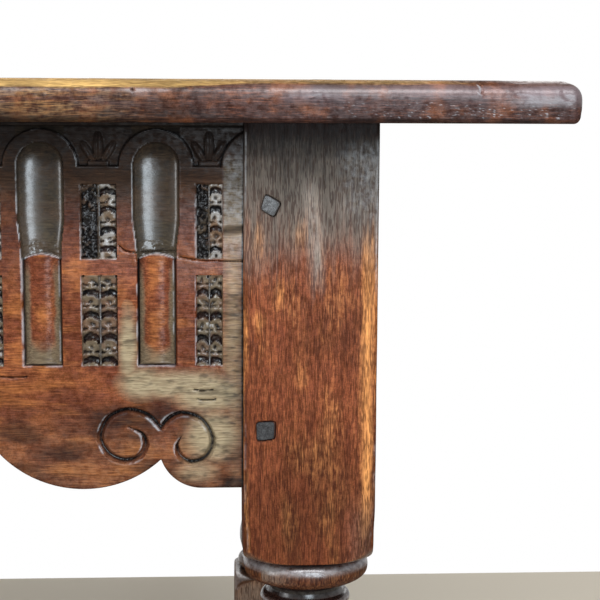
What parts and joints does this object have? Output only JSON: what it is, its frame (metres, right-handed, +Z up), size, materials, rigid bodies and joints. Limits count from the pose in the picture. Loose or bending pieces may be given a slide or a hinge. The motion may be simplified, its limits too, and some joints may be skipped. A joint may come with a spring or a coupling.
{
  "type": "communion table",
  "caption": "Joined oak communion table: plank top on a carved arcaded frieze with a shaped apron, turned legs with square blocks, and low box stretchers.",
  "frame": {"origin": "on the floor, under the middle of the top", "axes": "+Z up; +X along the table's length, to the right seen from the front; the front faces -Y"},
  "size_m": [1.494, 0.664, 0.7435],
  "materials": {
    "oak_top": "old oak planks, waxed, dark brown with worn golden edges",
    "oak_carved": "old carved oak, waxed red brown with black grime in the sunk work",
    "oak_leg": "old oak, waxed red brown, worn orange at the arrises",
    "oak_stretcher": "old oak, foot-worn and dull",
    "oak_peg": "hand-cut oak pegs, dark grey brown end grain",
    "oak_inner": "dry unwaxed oak"
  },
  "bodies": {
    "root": {"bearer_left": "oak_inner", "bearer_right": "oak_inner", "frieze_back": "oak_carved", "frieze_front": "oak_carved", "frieze_left": "oak_carved", "frieze_pegs_back": "oak_peg", "frieze_pegs_front": "oak_peg", "frieze_pegs_left": "oak_peg", "frieze_pegs_right": "oak_peg", "frieze_right": "oak_carved", "leg_back_left": "oak_leg", "leg_back_right": "oak_leg", "leg_front_left": "oak_leg", "leg_front_right": "oak_leg", "stretcher_back": "oak_stretcher", "stretcher_front": "oak_stretcher", "stretcher_left": "oak_stretcher", "stretcher_pegs_back": "oak_peg", "stretcher_pegs_front": "oak_peg", "stretcher_pegs_left": "oak_peg", "stretcher_pegs_right": "oak_peg", "stretcher_right": "oak_stretcher", "top_board_back": "oak_top", "top_board_front": "oak_top", "top_board_middle": "oak_top", "top_pegs": "oak_peg", "top_tongue_back": "oak_inner", "top_tongue_front": "oak_inner"}
  },
  "joints": []
}
